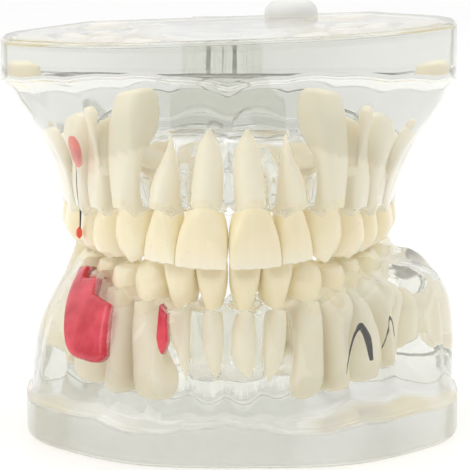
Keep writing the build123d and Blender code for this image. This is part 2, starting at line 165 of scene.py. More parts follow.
# Crown height, root length, width along the arch, thickness across it, lean of the root towards
# the tongue in degrees, and for front teeth the height of the biting edge. A gap is how much
# narrower the tooth is than its share of the arch. Roots are (offset along the arch, offset
# towards the cheek, length share), cusps the same with a height.
TEETH = {
    "upper_central_incisor": dict(crown=10.6, root=13.0, width=8.5, thick=6.6, lean=9, tip=32.9,
                                  gap=-0.16),
    "upper_lateral_incisor": dict(crown=9.4, root=12.8, width=6.6, thick=6.0, lean=9, tip=33.3),
    "upper_canine": dict(crown=10.2, root=20.8, width=7.5, thick=7.4, lean=3.5, tip=32.6),
    "upper_first_premolar": dict(crown=8.4, root=20.4, width=7.0, thick=8.8, lean=4,
                                 roots=[(0, 2.2, 1.0), (0, -2.2, 0.92)],
                                 cusps=[(0, 0.5, 1.0), (0, -0.5, 0.75)]),
    "upper_second_premolar": dict(crown=8.2, root=20.2, width=6.8, thick=8.8, lean=3,
                                  roots=[(0, 0, 1.0)], cusps=[(0, 0.5, 1.0), (0, -0.5, 0.85)]),
    "upper_first_molar": dict(crown=7.6, root=19.0, width=10.2, thick=10.6, lean=2,
                              roots=[(-2.7, 2.8, 0.95), (2.7, 2.8, 0.9), (0, -3.0, 1.0)],
                              cusps=[(-0.42, 0.52, 1.0), (0.42, 0.52, 0.95), (-0.3, -0.5, 0.9),
                                     (0.46, -0.5, 0.6)]),
    "upper_second_molar": dict(crown=7.2, root=14.4, width=9.2, thick=10.4, lean=0,
                               roots=[(-2.2, 2.6, 0.95), (2.2, 2.6, 0.9), (0, -2.8, 1.0)],
                               cusps=[(-0.42, 0.52, 1.0), (0.42, 0.52, 0.9), (-0.2, -0.5, 0.85),
                                      (0.46, -0.5, 0.5)]),
    "lower_central_incisor": dict(crown=8.6, root=12.4, width=5.2, thick=5.6, lean=4, tip=35.0),
    "lower_lateral_incisor": dict(crown=8.8, root=13.4, width=5.7, thick=6.0, lean=4, tip=35.0),
    "lower_canine": dict(crown=9.4, root=15.8, width=6.9, thick=7.0, lean=3, tip=33.8),
    "lower_first_premolar": dict(crown=8.2, root=15.4, width=7.0, thick=7.6, lean=0,
                                 roots=[(0, 0, 1.0)], cusps=[(0, 0.4, 1.0), (0, -0.5, 0.45)]),
    "lower_second_premolar": dict(crown=8.0, root=15.4, width=7.1, thick=8.0, lean=0,
                                  roots=[(0, 0, 1.0)],
                                  cusps=[(0, 0.45, 1.0), (-0.3, -0.5, 0.7), (0.35, -0.5, 0.55)]),
    "lower_first_molar": dict(crown=7.4, root=14.4, width=11.0, thick=10.0, lean=-2,
                              roots=[(-2.8, 0, 1.0), (2.8, 0, 0.93)],
                              cusps=[(-0.5, 0.5, 1.0), (0.08, 0.55, 0.9), (0.6, 0.4, 0.7),
                                     (-0.4, -0.5, 0.9), (0.4, -0.5, 0.85)]),
    "lower_second_molar": dict(crown=7.0, root=13.4, width=10.4, thick=9.6, lean=-4,
                               roots=[(-2.5, 0, 1.0), (2.5, 0, 0.93)],
                               cusps=[(-0.42, 0.5, 1.0), (0.42, 0.5, 0.9), (-0.42, -0.5, 0.85),
                                      (0.42, -0.5, 0.8)]),
}
KINDS = ["central_incisor", "lateral_incisor", "canine", "first_premolar", "second_premolar",
         "first_molar", "second_molar"]


def along_arch(arch, length):
    """Place, and heading in radians, a given length round an arch from its front."""
    turn = 0.0
    gone = 0.0
    step = pi / 4000
    while gone < length:
        gone += hypot(arch["half_width"] * cos(turn), arch["depth"] * sin(turn)) * step
        turn += step
    x = arch["half_width"] * sin(turn)
    y = arch["front"] + arch["depth"] * (1 - cos(turn))
    return x, y, atan2(arch["depth"] * sin(turn), arch["half_width"] * cos(turn))


def smooth_curve(knots, values, at):
    """Values between knots by a cubic that doesn't overshoot."""
    knots = np.asarray(knots, float)
    values = np.asarray(values, float)
    steps = np.diff(knots)
    slopes = np.diff(values) / steps
    turns = np.zeros(len(knots))
    same = slopes[:-1] * slopes[1:] > 0
    turns[1:-1][same] = 2 * slopes[:-1][same] * slopes[1:][same] / (slopes[:-1] + slopes[1:])[same]
    turns[0] = slopes[0]
    turns[-1] = slopes[-1]
    at = np.clip(np.asarray(at, float), knots[0], knots[-1])
    i = np.clip(np.searchsorted(knots, at) - 1, 0, len(steps) - 1)
    t = (at - knots[i]) / steps[i]
    return (values[i] * (1 + 2 * t) * (1 - t) ** 2 + turns[i] * steps[i] * t * (1 - t) ** 2
            + values[i + 1] * t * t * (3 - 2 * t) - turns[i + 1] * steps[i] * t * t * (1 - t))


def ring_mesh(rings):
    """Vertices and faces of a tube through rings of points, its ends closed by a middle point."""
    rings = np.asarray(rings)
    count, around, _ = rings.shape
    points = list(rings.reshape(-1, 3))
    faces = []
    for r in range(count - 1):
        for a in range(around):
            b = (a + 1) % around
            faces.append((r * around + a, r * around + b,
                          (r + 1) * around + b, (r + 1) * around + a))
    for row, first in ((0, True), (count - 1, False)):
        middle = len(points)
        points.append(rings[row].mean(axis=0))
        for a in range(around):
            edge = (row * around + a, row * around + (a + 1) % around)
            faces.append((edge[1], edge[0], middle) if first else (edge[0], edge[1], middle))
    return np.array(points), faces


def superellipse(angles, half_a, half_b, power):
    """Points round a squarish oval."""
    c = np.cos(angles)
    s = np.sin(angles)
    a = half_a * np.sign(c) * np.abs(c) ** (2 / power)
    b = half_b * np.sign(s) * np.abs(s) ** (2 / power)
    return a, b


AROUND = np.linspace(0, 2 * pi, 56, endpoint=False)       # directions round each tooth


def front_tooth_rings(kind, pointed):
    """Incisor or canine, in its own frame: a along the arch, b to the lips, c to the root's end."""
    crown = kind["crown"]
    root = kind["root"]
    if pointed:
        heights = [0, 0.06, 0.2, 0.45, 0.78, 1.0, 1.4, 1.8, 1.95, 2.0]
        widths = [0.10, 0.36, 0.78, 1.0, 0.84, 0.74, 0.90, 1.08, 0.96, 0.62]
        fronts = [1.3, 1.75, 2.6, 3.4, 3.75, 3.45, 3.2, 3.0, 2.6, 1.6]
        backs = [-0.9, -0.2, 0.9, 2.4, 3.6, 3.4, 3.2, 3.0, 2.6, 1.6]
    else:
        heights = [0, 0.05, 0.22, 0.5, 0.78, 1.0, 1.4, 1.8, 2.0]
        widths = [0.95, 0.985, 1.0, 0.94, 0.78, 0.60, 0.50, 0.31, 0.05]
        fronts = [1.95, 2.1, 2.6, 3.15, 3.2, 2.85, 2.3, 1.4, 0.25]
        backs = [-1.2, -0.9, 0.05, 1.7, 3.0, 2.9, 2.4, 1.5, 0.25]
    stations = np.concatenate([np.linspace(0, 0.12, 7), np.linspace(0.16, 1.1, 26),
                               np.linspace(1.15, 1.9, 16), np.linspace(1.93, 2.0, 5)])
    scale = kind["thick"] / (7.4 if pointed else 6.6)
    rings = []
    for h in stations:
        half = smooth_curve(heights, widths, h) * kind["width"] / 2
        front = smooth_curve(heights, fronts, h) * scale
        back = smooth_curve(heights, backs, h) * scale
        middle = (front - back) / 2
        deep = (front + back) / 2
        power = 2.0 + 0.9 * np.clip(1 - h, 0, 1)
        a, b = superellipse(AROUND, half, deep, power)
        across = a / max(half, 1e-6)
        in_crown = np.clip(1 - h, 0, 1)
        lips = np.clip(b / deep, 0, 1)
        tongue = np.clip(-b / deep, 0, 1)
        # two faint grooves down the lip side and a hollow with raised rims behind
        grooves = np.exp(-((np.abs(across) - 0.34) / 0.13) ** 2) * min(1.0, 2.2 * in_crown)
        b = b - lips * grooves * (0.02 if pointed else 0.11) * scale
        if pointed:
            b = b + lips * np.exp(-(across / 0.3) ** 2) * 0.28 * min(1, 2 * in_crown)
        hollow = np.exp(-(across / 0.55) ** 4) * np.exp(-((h - 0.42) / 0.26) ** 2)
        b = b + tongue * hollow * 0.75 * scale
        # the enamel stands a little proud of the root, down to a line that dips at the sides
        proud = 1 + 0.035 / (1 + np.exp((h - 1.0 + 0.06 * np.cos(2 * AROUND)) / 0.012))
        c = h * crown if h <= 1 else crown + (h - 1) * root
        # biting edge: three low mounds, its far corner rounded more
        edge_fade = np.clip(1 - h / 0.2, 0, 1)
        if not pointed:
            c = c + edge_fade * (0.10 * np.cos(across * 3 * pi) + 0.35 * np.clip(across, 0, 1) ** 3
                                 + 0.15 * np.clip(-across, 0, 1) ** 4)
        # roots curve a little away from the middle line near their ends
        bend = 0.9 * np.clip(h - 1.35, 0, 1) ** 2
        rings.append(np.stack([a * proud + bend, b * proud + middle, c + 0 * a], axis=1))
    return rings


def cusp_height(kind, x, y):
    """How far the biting surface stands towards the other jaw, from about -1 to 1."""
    valley = -0.75
    molar = len(kind["cusps"]) >= 4
    field = np.full(np.shape(x), valley)
    for along, across, height in kind["cusps"]:
        reach = 0.34 if molar else 0.42
        near = ((x - along) / reach) ** 2 + ((y - across) / 0.40) ** 2
        field = np.maximum(field, valley + (height - valley) * np.exp(-near * 0.9))
    rim = np.exp(-((np.hypot(x, y) - 0.86) / 0.16) ** 2)
    field = np.maximum(field, valley + 1.05 * rim)
    # one groove runs along the arch, and on a molar one crosses it
    field = field - 0.34 * np.exp(-(y / 0.085) ** 2) * (np.abs(x) < 0.75)
    if molar:
        crossing = np.exp(-((x - 0.06) / 0.075) ** 2)
        field = field - 0.30 * crossing * np.clip(1.2 - np.abs(y), 0, 1)
    return field


def cheek_crown_rings(kind):
    """Crown of a premolar or molar, from the middle of its biting surface out and down."""
    crown = kind["crown"]
    half_a = kind["width"] / 2
    half_b = kind["thick"] / 2
    relief = 0.95
    molar = len(kind["cusps"]) >= 4
    power = 2.9 if molar else 2.3
    rings = []
    table_a = 0.80 * half_a
    table_b = 0.64 * half_b
    for s in np.linspace(0.06, 1.0, 16):
        a, b = superellipse(AROUND, table_a * s, table_b * s, power)
        field = cusp_height(kind, a / table_a * 0.95, b / table_b * 0.95)
        rings.append(np.stack([a, b, 0.55 - relief * field * 0.9], axis=1))
    rim = rings[-1][:, 2]
    stations = [0.13, 0.18, 0.24, 0.32, 0.4, 0.48, 0.56, 0.64, 0.72, 0.8, 0.88, 0.94, 0.98, 1.0,
                1.03]
    heights = [0.08, 0.2, 0.45, 0.8, 1.0, 1.1]
    for h in stations:
        wide = smooth_curve(heights, [0.82, 0.95, 1.0, 0.91, 0.80, 0.77], h)
        deep = smooth_curve(heights, [0.68, 0.85, 1.0, 0.95, 0.87, 0.85], h)
        a, b = superellipse(AROUND, half_a * wide, half_b * deep, power)
        if molar:
            waist = np.exp(-((a / half_a - 0.06) / 0.16) ** 2) * np.clip(1.1 - h, 0, 1)
            b = b * (1 - 0.05 * waist)
        fade = np.clip(1 - (h - 0.10) / 0.38, 0, 1) ** 1.5
        c = h * crown * (1 - fade) + (rim + (h - 0.10) * crown * 0.9) * fade
        proud = 1 + 0.03 / (1 + np.exp((h - 0.97 + 0.02 * np.cos(2 * AROUND)) / 0.012))
        rings.append(np.stack([a * proud, b * proud, c], axis=1))
    return rings


def root_rings(kind, along, across, length):
    """One root from inside the trunk to its end, curved a little backwards."""
    single = len(kind["roots"]) == 1
    pair_across = abs(across) > 0.1
    wide = kind["width"] * (0.47 if single else 0.30)
    deep = kind["thick"] * (0.20 if pair_across else 0.38)
    if len(kind["roots"]) == 3 and across < 0:
        wide = kind["width"] * 0.27
    start = kind["crown"] - 1.5
    end = kind["crown"] + length * kind["root"]
    rings = []
    for t in np.linspace(0, 1, 22):
        size = smooth_curve([0, 0.3, 0.6, 0.88, 0.96, 1.0], [1.02, 1.0, 0.96, 0.88, 0.74, 0.42], t)
        out = 0.62 + 0.45 * t
        a, b = superellipse(AROUND[::2], wide * size, deep * size, 2.2)
        bend = (0.7 if single else 0.9) * t * t
        lateral = along * out + bend * (1 if along <= 0 else -0.6)
        down = 0 * a + start + (end - start) * t
        rings.append(np.stack([a + lateral, b + across * out, down], axis=1))
    return rings


def trunk_rings(kind):
    """The part below the crown where the roots are still one."""
    single = len(kind["roots"]) == 1
    depth = (0.12 if single else 0.42) * kind["root"]
    rings = []
    for t in np.linspace(0, 1, 7):
        shrink = smooth_curve([0, 0.3, 0.8, 1.0], [0.76, 0.80, 0.76, 0.5], t)
        deep = kind["thick"] / 2 * shrink * 1.1
        a, b = superellipse(AROUND, kind["width"] / 2 * shrink, deep, 2.6)
        rings.append(np.stack([a, b, 0 * a + kind["crown"] - 0.8 + (depth + 0.8) * t], axis=1))
    return rings


def mesh_object(name, points, faces):
    """A new object in the scene with this mesh."""
    mesh = bpy.data.meshes.new(name)
    mesh.from_pydata([tuple(p) for p in points], [], faces)
    mesh.validate()
    mesh.update()
    obj = bpy.data.objects.new(name, mesh)
    bpy.context.scene.collection.objects.link(obj)
    return obj


def joined(lofts):
    """Several closed tubes as one list of points and faces."""
    points = []
    faces = []
    for rings in lofts:
        more, sides = ring_mesh(rings)
        faces += [tuple(i + len(points) for i in face) for face in sides]
        points += list(more)
    return np.array(points), faces


def baked(obj, modifiers):
    """Apply modifiers, given as (kind, settings), and keep the result as the object's mesh."""
    for kind, settings in modifiers:
        modifier = obj.modifiers.new(kind.lower(), kind)
        for key, value in settings.items():
            setattr(modifier, key, value)
    seen = obj.evaluated_get(bpy.context.evaluated_depsgraph_get())
    mesh = bpy.data.meshes.new_from_object(seen)
    obj.modifiers.clear()
    obj.data = mesh


def face_outwards(obj):
    """Turn the faces so that the closed mesh's normals point out of it."""
    mesh = obj.data
    mesh.calc_loop_triangles()
    corners = np.array([[mesh.vertices[i].co[:] for i in t.vertices] for t in mesh.loop_triangles])
    volume = np.einsum("ij,ij->i", corners[:, 0], np.cross(corners[:, 1], corners[:, 2])).sum() / 6
    if volume < 0:
        mesh.flip_normals()


def smooth(obj):
    obj.data.polygons.foreach_set("use_smooth", [True] * len(obj.data.polygons))
    obj.data.update()


def point_values(obj, key, values):
    """Store a value for each point of the mesh, for its material to read."""
    layer = obj.data.attributes.new(key, "FLOAT", "POINT")
    layer.data.foreach_set("value", values.astype(np.float32))


def tooth_frame(arch, kind, x, y, heading, side):
    """A tooth's own axes: along the arch, to the lips or cheek, and to the root's end."""
    lean = radians(kind["lean"])
    outward = np.array([sin(heading), -cos(heading), 0.0])
    backward = np.array([cos(heading), sin(heading), 0.0])
    rootward = np.array([0, 0, arch["up"]]) * cos(lean) - outward * sin(lean)
    to_lips = np.cross(rootward, backward) * (-arch["up"])
    to_lips = to_lips if to_lips @ outward > 0 else -to_lips
    origin = np.array([x, y, kind.get("tip", arch["bite"])])
    mirror = np.array([side, 1, 1])
    return origin * mirror, backward * mirror, to_lips * mirror, rootward * mirror


TOOTH_VOXEL = 0.22         # crown, trunk and roots are fused on a grid this fine


def add_tooth(name, kind, axes):
    """One tooth's mesh, with the values along it that its colours follow."""
    origin, along, lips, rootward = axes
    if "cusps" in kind:
        lofts = [cheek_crown_rings(kind), trunk_rings(kind)]
        lofts += [root_rings(kind, *root) for root in kind["roots"]]
    else:
        lofts = [front_tooth_rings(kind, name.endswith("canine"))]
    points, faces = joined(lofts)
    points = origin + points[:, :1] * along + points[:, 1:2] * lips + points[:, 2:] * rootward
    tooth = mesh_object(name + "_moulding", points * MM, faces)
    face_outwards(tooth)
    if "cusps" in kind:
        baked(tooth, [("REMESH", dict(mode="VOXEL", voxel_size=TOOTH_VOXEL * MM)),
                      ("SMOOTH", dict(factor=0.5, iterations=2))])
    smooth(tooth)
    place = np.array([v.co[:] for v in tooth.data.vertices]) / MM - origin
    deep = place @ rootward
    turn = np.arctan2(place @ lips, place @ along)
    neck = kind["crown"] - 0.9 * np.cos(2 * turn) * (1 if "tip" in kind else 0.35)
    point_values(tooth, "crown", 1 / (1 + np.exp((deep - neck) / 0.18)))
    point_values(tooth, "collar", np.exp(-((deep - neck) / 0.22) ** 2))
    point_values(tooth, "edge", np.clip(1 - deep / (0.35 * kind["crown"]), 0, 1) ** 1.5)
    tooth.data.materials.append(ivory)
    return tooth


ivory = ivory_material()
CHEEK_TOOTH_GAP = 0.25
teeth_places = {"upper": [], "lower": []}      # each tooth's middle and width, round the arch
for jaw, arch in ARCHES.items():
    reach = 0.0
    for kind_name in KINDS:
        kind = dict(TEETH[f"{jaw}_{kind_name}"])
        reach += kind["width"] / 2
        x, y, heading = along_arch(arch, reach)
        teeth_places[jaw].append((reach, kind["width"]))
        reach += kind["width"] / 2
        kind["width"] -= kind.get("gap", 0.0 if "tip" in kind else CHEEK_TOOTH_GAP)
        for side, word in ((1, "left"), (-1, "right")):
            node = f"{jaw}_{word}_{kind_name}"
            tooth = add_tooth(node, kind, tooth_frame(arch, kind, x, y, heading, side))
            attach(tooth, jaw)
            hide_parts(node)


# ---------------- wisdom teeth ----------------
# Four smaller ivory mouldings of the same plastic, buried whole in the rear corners of the two
# castings, with their crowns tipped a little.
WISDOM = dict(crown=5.6, root=6.4, width=8.0, thick=8.0, lean=0,
              roots=[(-1.7, 0, 1.0), (1.7, 0, 0.92)],
              cusps=[(-0.42, 0.5, 1.0), (0.42, 0.5, 0.9), (-0.42, -0.5, 0.85), (0.42, -0.5, 0.8)])
WISDOM_PLACES = {"upper": (22.6, 24.0, 52.6, 8, 1), "lower": (22.6, 25.4, 21.0, -8, -1)}
for jaw, (x, y, tip, tilt, up) in WISDOM_PLACES.items():
    lean = radians(tilt)
    for side, word in ((1, "left"), (-1, "right")):
        node = f"{jaw}_{word}_wisdom_tooth"
        axes = (np.array([x * side, y, tip]), np.array([0, -cos(lean) * up, sin(lean)]),
                np.array([side, 0.0, 0.0]), np.array([0, sin(lean), up * cos(lean)]))
        tooth = add_tooth(node, WISDOM, axes)
        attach(tooth, jaw)
        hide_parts(node)


# ---------------- clear castings ----------------
# Each jaw is one block of clear polyester resin cast in a rubber mould round the teeth. Its plate
# edge is trimmed upright, the gum swells over each root, and the cast skin is faintly rippled.
def resin_material():
    graph = Graph(bpy.data.materials.new("clear_resin"))
    ripple = graph.noise(0.011, detail=1.5)
    fine = graph.noise(0.0026, detail=2.0)
    cloud = graph.noise(0.02, detail=2.0)
    ground = graph.add("ShaderNodeAttribute", output="Fac", attribute_name="ground")
    depth = graph.add("ShaderNodeAttribute", output="Fac", attribute_name="depth")
    surface = graph.bump(ripple * (1.0 - ground), 0.35, 0.0005)
    tint = (0.945, 0.95, 0.92)
    paler = tuple(c * 1.012 for c in tint)
    colour = graph.mix(cloud, (*tint, 1), (*paler, 1))
    # painted shade: thick resin is darkened towards grey-green, partly a real smoky tint and partly
    # painted shade of the dark seen through the plate
    colour = graph.mix(depth, colour, (0.66, 0.67, 0.61, 1))
    rough = 0.006 + fine * 0.012 + ground * 0.26
    glass = graph.principled(Base_Color=colour, Roughness=rough, Normal=surface, IOR=1.53,
                             Transmission_Weight=0.93)
    # shadows and soft light pass straight through, so the teeth inside stay bright
    clear = graph.add("ShaderNodeBsdfTransparent", inputs={"Color": (0.975, 0.975, 0.96, 1)})
    ray = graph.add("ShaderNodeLightPath", output="Is Shadow Ray")
    soft = graph.add("ShaderNodeLightPath", output="Is Diffuse Ray")
    passes = ray.math("MAXIMUM", soft)
    mixed = graph.add("ShaderNodeMixShader", inputs={0: passes, 1: glass, 2: clear})
    return graph.finish(mixed)


CENTRE_Y = 5.0             # each casting is meshed outwards from here
COLUMNS = 384              # points round each ring of its mesh
FLAT_ROWS = 19             # rings over the flat face and its rounded edge
BAND_ROWS = 7              # rings down the upright band
LEDGE_ROWS = 3             # rings in from the band to the foot of the gum
SLOPE_ROWS = 26            # rings from there to the gum line
EDGE_RADIUS = 0.9
LEDGE_DROP = 0.8
GUM_BESIDE = 5.2           # from the middle line of the arch to the gum's edge on either side


def surface_tree(mesh):
    """The mesh's faces, ready to be tested with rays."""
    return BVHTree.FromPolygons([v.co[:] for v in mesh.vertices],
                                [p.vertices[:] for p in mesh.polygons])


def outline_reach(node, height, angles, shift):
    """How far the casting's outline lies from its centre at one height, in each direction."""
    tree = surface_tree(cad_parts[node].data)
    far = 80.0
    reach = []
    for angle in angles:
        away = Vector((sin(angle), -cos(angle), 0))
        start = Vector((shift * MM, CENTRE_Y * MM, height * MM)) + away * (far * MM)
        hit = tree.ray_cast(start, -away)
        reach.append((hit[0] - start).length)
    return far - np.array(reach) / MM


def arch_reach(arch, offset, angles, shift):
    """Distance from the casting's centre to a line beside the arch, in each direction."""
    turns = np.linspace(-pi * 0.62, pi * 0.62, 900)
    x = arch["half_width"] * np.sin(turns)
    y = arch["front"] + arch["depth"] * (1 - np.cos(turns))
    late = np.abs(turns) > pi / 2
    y = np.where(late, arch["front"] + arch["depth"] + (np.abs(turns) - pi / 2) * arch["depth"], y)
    x = np.where(late, np.sign(turns) * arch["half_width"], x)
    heading = np.arctan2(arch["depth"] * np.sin(turns), arch["half_width"] * np.cos(turns))
    heading = np.where(late, np.sign(turns) * pi / 2, heading)
    x = x + offset * np.sin(heading) - shift
    y = y - offset * np.cos(heading) - CENTRE_Y
    directions = np.arctan2(x, -y)
    order = np.argsort(directions)
    return np.interp(angles, directions[order], np.hypot(x, y)[order])


def arc_length_at(arch, x, y):
    """Length round the arch, signed by side, of the crown line's point nearest to each x, y."""
    turns = np.linspace(-pi / 2, pi / 2, 1400)
    px = arch["half_width"] * np.sin(turns)
    py = arch["front"] + arch["depth"] * (1 - np.cos(turns))
    steps = np.hypot(np.diff(px), np.diff(py))
    length = np.concatenate([[0], np.cumsum(steps)])
    length -= length[len(length) // 2]
    near = np.argmin((x[:, None] - px) ** 2 + (y[:, None] - py) ** 2, axis=1)
    return length[near]


def root_swell(jaw, lengths):
    """1 over the middle of each tooth and 0 between neighbours, round the arch."""
    swell = np.zeros_like(lengths)
    for middle, width in teeth_places[jaw]:
        for side in (1, -1):
            near = np.clip((lengths - side * middle) / (width * 0.5), -1, 1)
            swell = np.maximum(swell, np.cos(near * pi / 2))
    return swell


# Outer skin of each gum, from the plate's ledge (0) to the gum line (1): how far it has come in
# from the plate's edge (0) to the line beside the teeth (1), at the front and at either side.
CLIMB = [0.0, 0.12, 0.3, 0.5, 0.7, 0.85, 0.95, 1.0]
SKINS = {
    "upper": dict(front=[0.10, 0.34, 0.60, 0.78, 0.90, 0.96, 0.99, 1.0],
                  right=[0.04, 0.15, 0.40, 0.68, 0.86, 0.94, 0.98, 1.0],
                  left=[0.03, 0.11, 0.34, 0.62, 0.82, 0.93, 0.98, 1.0]),
    "lower": dict(front=[0.12, 0.42, 0.60, 0.70, 0.80, 0.89, 0.96, 1.0],
                  right=[0.01, 0.03, 0.09, 0.22, 0.46, 0.72, 0.92, 1.0],
                  left=[0.0, 0.0, 0.0, 0.02, 0.06, 0.18, 0.42, 1.0]),
}
# Height of the far edge of each upright band and of the gum line, by distance round the arch.
BANDS = {
    "upper": ([0, 4, 13, 24, 40, 70], [63.6, 64.3, 65.2, 64.0, 62.6, 62.4]),
    "lower": ([0, 4, 11, 18, 30, 70], [8.0, 7.3, 5.9, 7.2, 7.0, 6.3]),
}
GUM_LINES = {
    "upper": ([0, 8, 20, 34, 60], [43.6, 43.2, 42.0, 40.2, 39.4]),
    "lower": ([0, 8, 20, 30, 60], [26.3, 26.2, 27.6, 29.6, 30.4]),
}


def resin_depth(mesh):
    """How much resin lies behind each point of a closed mesh, from 0 to 1 at 60 mm and over."""
    tree = surface_tree(mesh)
    depths = []
    for vertex in mesh.vertices:
        inwards = -vertex.normal
        hit = tree.ray_cast(vertex.co + inwards * (0.3 * MM), inwards)
        depths.append(min(1.0, hit[3] / (60 * MM)) if hit[3] else 0.0)
    return np.array(depths, np.float32)


def casting(jaw, shift, flat, roof, flat_ground, band_ground, smoke_and_shade):
    """Closed mesh of one casting, and the points of its outer slope by row and column.

    flat(x, y) is the height of its flat face, and roof the height of the palate or of the
    tongue space's floor. flat_ground and band_ground say how dull those faces were left.
    The last argument says how strongly the resin is darkened where it is thick: partly a real
    smoky tint and partly painted shade.
    """
    node = f"{jaw}_jaw"
    arch = ARCHES[jaw]
    up = arch["up"]
    angles = np.linspace(-pi, pi, COLUMNS, endpoint=False) + pi / COLUMNS
    band_middle = (BANDS[jaw][1][-1] + flat(0.0, 0.0)) / 2
    outer = outline_reach(node, band_middle, angles, shift)
    beside = arch_reach(arch, GUM_BESIDE, angles, shift)
    inside = arch_reach(arch, -GUM_BESIDE, angles, shift)
    open_back = smooth_curve([0, radians(136), radians(152), pi], [0, 0, 1, 1], np.abs(angles))
    beside = np.minimum(beside, outer - 1.6)
    inside = np.minimum(inside, outer - 3.4)
    ux = np.sin(angles)
    uy = -np.cos(angles)
    rings = []

    def at(reach):
        return shift + ux * reach, CENTRE_Y + uy * reach

    def ring(reach, height):
        x, y = at(reach)
        rings.append(np.stack([x, y, height + 0 * x], axis=1))

    lengths = arc_length_at(arch, *at((beside + inside) / 2))
    swell = root_swell(jaw, lengths)
    line = smooth_curve(*GUM_LINES[jaw], np.abs(lengths))
    rim = line + up * (0.5 - 1.5 * (1 - swell))
    edge = smooth_curve(*BANDS[jaw], np.abs(lengths)) + up * 0.3 * (swell - 0.5)

    # flat face: out from its middle to a rounded edge
    flat_rings = 14
    for share in np.linspace(0.02, 0.985, flat_rings):
        ring(outer * share, flat(*at(outer * share)))
    for turn in np.linspace(0.15, 1, FLAT_ROWS - flat_rings) * pi / 2:
        fall = up * EDGE_RADIUS * (1 - cos(turn))
        ring(outer - EDGE_RADIUS * (1 - sin(turn)), flat(*at(outer)) - fall)
    # upright band down to its scalloped edge, then a small hollow ledge
    top = flat(*at(outer)) - up * EDGE_RADIUS
    for share in np.linspace(0.15, 1, BAND_ROWS):
        ring(outer, top + (edge - top) * share)
    for share in (0.35, 0.7, 1.0):
        ring(outer - (0.3 + 0.7 * share), edge - up * (LEDGE_DROP * share ** 1.5))

    # the gum's outer slope, swelling over each root
    side = np.sin(np.clip(angles, -pi / 2, pi / 2)) ** 2
    start = outer - 1.0
    slope_from = edge - up * LEDGE_DROP
    first_slope = len(rings)
    for share in np.linspace(0.03, 1, SLOPE_ROWS):
        front, right, left = (smooth_curve(CLIMB, SKINS[jaw][face], share)
                              for face in ("front", "right", "left"))
        inwards = front * (1 - side) + np.where(angles > 0, left, right) * side
        run = start + (beside - start) * inwards
        fade = sin(min(share * 1.04, 1.0) * pi) ** 0.7
        swollen = run + 0.9 * (swell - 0.5) * fade * (1 - open_back)
        ring(np.minimum(swollen, outer - 0.5), slope_from + (rim - slope_from) * share)
    past_slope = len(rings)

    # rolled gum margin, the crest between the teeth, and the tongue side down to the floor
    crest = rim - up * 0.35
    ring(beside - 0.35, rim - up * 0.28 * (1 - open_back))
    for share in np.linspace(0.0, 1.0, 9):
        hollow = up * 0.36 * sin(share * pi)
        ring(beside - 0.9 + (inside + 1.8 - beside) * share, crest + hollow)
    ring(inside + 0.3, rim - up * 0.2)
    floor_edge = inside * (0.66 if jaw == "upper" else 0.70)
    for share in np.linspace(0.08, 1, 16):
        run = inside + (floor_edge - inside) * share
        drop = smooth_curve([0, 0.2, 0.6, 1.0], [0, 0.42, 0.86, 1.0], share)
        ridge = 0.0
        if jaw == "upper":
            ahead = np.clip(1 - np.abs(angles) / radians(62), 0, 1)
            folds = np.sin(share * 13 + np.sin(angles * 5) * 1.1)
            ridge = 0.45 * folds * np.sqrt(ahead) * sin(share * pi)
        tongue_swell = 0.35 * (swell - 0.5) * sin(share * pi)
        ring(run - tongue_swell, rim + (roof - rim) * drop + ridge)
    dome = 0.8 if jaw == "upper" else 0.24
    for share in np.linspace(0.9, 0.04, 10):
        ring(floor_edge * share, roof + dome * (1 - share ** 2))
    rings = np.array(rings)

    # At the back there is no ridge of gum: the wall stays upright and the floor runs out to it.
    height = rings[:, :, 2]
    climb = np.linspace(0, 1, past_slope - first_slope)[:, None] ** 0.5
    back_wall = edge + (roof - edge) * climb
    slope = slice(first_slope, past_slope)
    height[slope] = height[slope] * (1 - open_back) + back_wall * open_back
    wall_x, wall_y = at(outer - 0.6)
    rings[slope, :, 0] = rings[slope, :, 0] * (1 - open_back) + wall_x * open_back
    rings[slope, :, 1] = rings[slope, :, 1] * (1 - open_back) + wall_y * open_back
    inner = slice(past_slope, None)
    farthest = np.maximum if up > 0 else np.minimum
    height[inner] = height[inner] * (1 - open_back) + farthest(height[inner], roof) * open_back
    points, faces = ring_mesh(rings)
    block = mesh_object(f"{node}_resin", points * MM, faces)
    face_outwards(block)
    smooth(block)

    # the flat face and the band are ground on a trimmer; the rest is as it left the mould
    band = slice(FLAT_ROWS, FLAT_ROWS + BAND_ROWS)
    sanded = np.zeros((len(rings), COLUMNS))
    sanded[:FLAT_ROWS] = flat_ground
    sanded[band] = band_ground
    sanded[FLAT_ROWS:past_slope] += 0.7 * open_back
    sanded = np.append(sanded.reshape(-1), [flat_ground, 0])
    point_values(block, "ground", np.minimum(sanded, 1))

    # painted shade: each point is darkened by how much resin lies behind it, partly a real smoky
    # tint and partly painted shade; the upper plate is darkened further, as painted shade, in the
    # middle of its front band and ledge, and its sides are kept lighter
    depths = np.minimum(resin_depth(block.data) * smoke_and_shade, 1)
    if jaw == "upper":
        middle = 0.42 + 0.58 * np.exp(-(angles / radians(30)) ** 4)
        rows = BAND_ROWS + LEDGE_ROWS
        first = FLAT_ROWS * COLUMNS
        depths[first:first + rows * COLUMNS] *= np.tile(middle, rows)
    point_values(block, "depth", depths)
    return block, rings[slope]


TOP = 71.2
TOP_SLOPE = radians(2.0)   # the top was trimmed a little out of level
BASE_SHIFT = 2.4           # the base was trimmed a little to the left of the teeth


def sloping_top(x, y):
    """Height of the upper casting's flat face."""
    return TOP + np.tan(TOP_SLOPE) * x


def level_base(x, y):
    """Height of the lower casting's flat face."""
    return 0.0 * x


